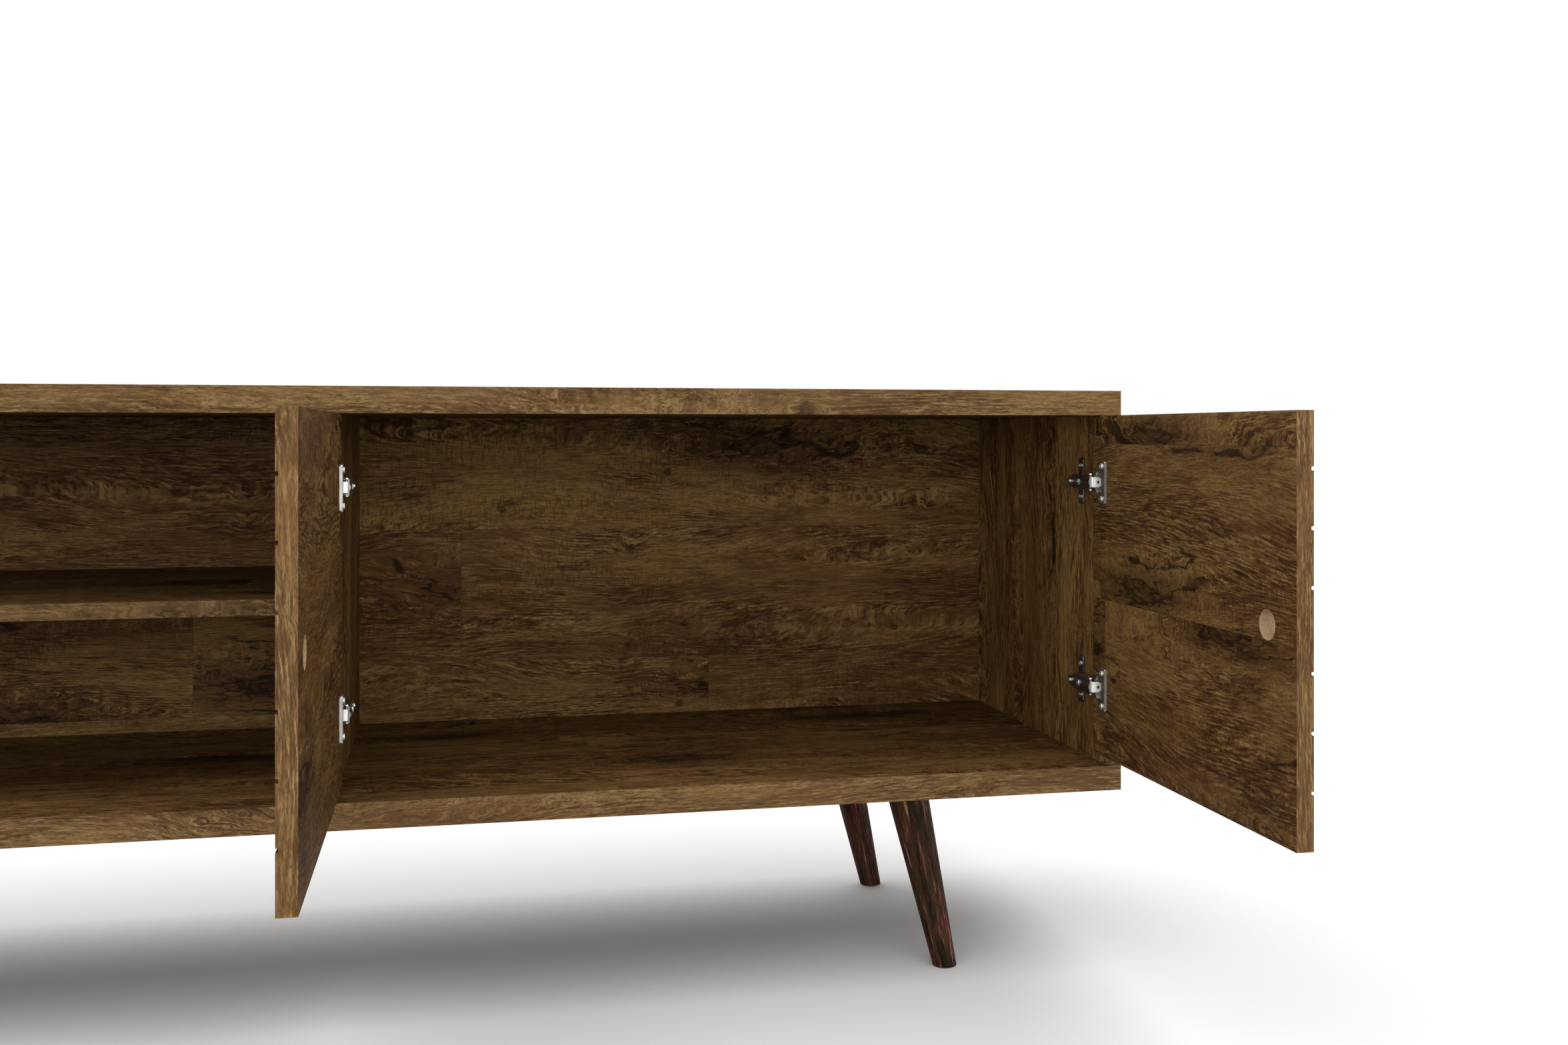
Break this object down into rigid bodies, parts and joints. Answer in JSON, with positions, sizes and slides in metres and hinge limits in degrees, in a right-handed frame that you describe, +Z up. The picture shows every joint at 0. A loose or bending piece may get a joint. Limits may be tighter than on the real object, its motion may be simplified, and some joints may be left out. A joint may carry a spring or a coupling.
{
  "type": "tv stand with doors",
  "caption": "Low wide TV stand on splayed tapered legs, with an open shelved bay and a bay behind hinged, grooved doors with round finger holes.",
  "frame": {"origin": "on the floor, under the middle of the whole stand's outline with its doors open", "axes": "+X along the width towards the door bay, +Y from the front to the back, +Z up"},
  "size_m": [1.6, 0.7624, 0.591],
  "materials": {
    "oak_board": "satin rustic oak print on board",
    "back_board": "satin rustic oak print, thin back board",
    "dark_wood": "satin espresso stain",
    "dowel_wood": "raw beech",
    "dark_nickel": "dark nickel plate",
    "bright_steel": "bright nickel plate",
    "spring_steel": "blued spring strip",
    "zinc_steel": "bright zinc plate",
    "foot_plastic": "matt black"
  },
  "bodies": {
    "cabinet": {"top_panel": "oak_board", "base_panel": "oak_board", "left_side": "oak_board", "right_side": "oak_board", "center_partition": "oak_board", "shelf": "oak_board", "back_panel_left": "back_board", "back_panel_right": "back_board", "back_panel_nails": "zinc_steel", "panel_dowels": "dowel_wood", "base_screws": "zinc_steel", "shelf_dowels": "dowel_wood", "leg_front_left": "dark_wood", "leg_front_right": "dark_wood", "leg_rear_left": "dark_wood", "leg_rear_right": "dark_wood", "leg_plates": "zinc_steel", "leg_bolts": "zinc_steel", "leg_plate_screws": "zinc_steel", "foot_glides": "foot_plastic", "left_upper_hinge_plate": "dark_nickel", "left_lower_hinge_plate": "dark_nickel", "right_upper_hinge_plate": "dark_nickel", "right_lower_hinge_plate": "dark_nickel", "left_upper_hinge_arm": "dark_nickel", "left_lower_hinge_arm": "dark_nickel", "right_upper_hinge_arm": "dark_nickel", "right_lower_hinge_arm": "dark_nickel", "left_upper_hinge_link": "bright_steel", "left_lower_hinge_link": "bright_steel", "right_upper_hinge_link": "bright_steel", "right_lower_hinge_link": "bright_steel", "hinge_rivets": "bright_steel", "hinge_plate_screws": "zinc_steel", "hinge_arm_screws": "zinc_steel"},
    "left_door_leaf": {"left_door": "oak_board", "left_upper_hinge_cup": "bright_steel", "left_lower_hinge_cup": "bright_steel", "left_hinge_pins": "dark_nickel", "left_hinge_springs": "spring_steel", "left_cup_screws": "zinc_steel"},
    "right_door_leaf": {"right_door": "oak_board", "right_upper_hinge_cup": "bright_steel", "right_lower_hinge_cup": "bright_steel", "right_hinge_pins": "dark_nickel", "right_hinge_springs": "spring_steel", "right_cup_screws": "zinc_steel"}
  },
  "joints": [
    {"name": "left_door_hinge", "type": "hinge", "parent": "cabinet", "child": "left_door_leaf", "pos_m": [0.0266, -0.00335, 0.393], "axis": [0, 0, -1], "range_deg": [-90, 5]},
    {"name": "right_door_hinge", "type": "hinge", "parent": "cabinet", "child": "right_door_leaf", "pos_m": [0.7844, -0.00335, 0.393], "axis": [0, 0, 1], "range_deg": [-90, 5]}
  ]
}
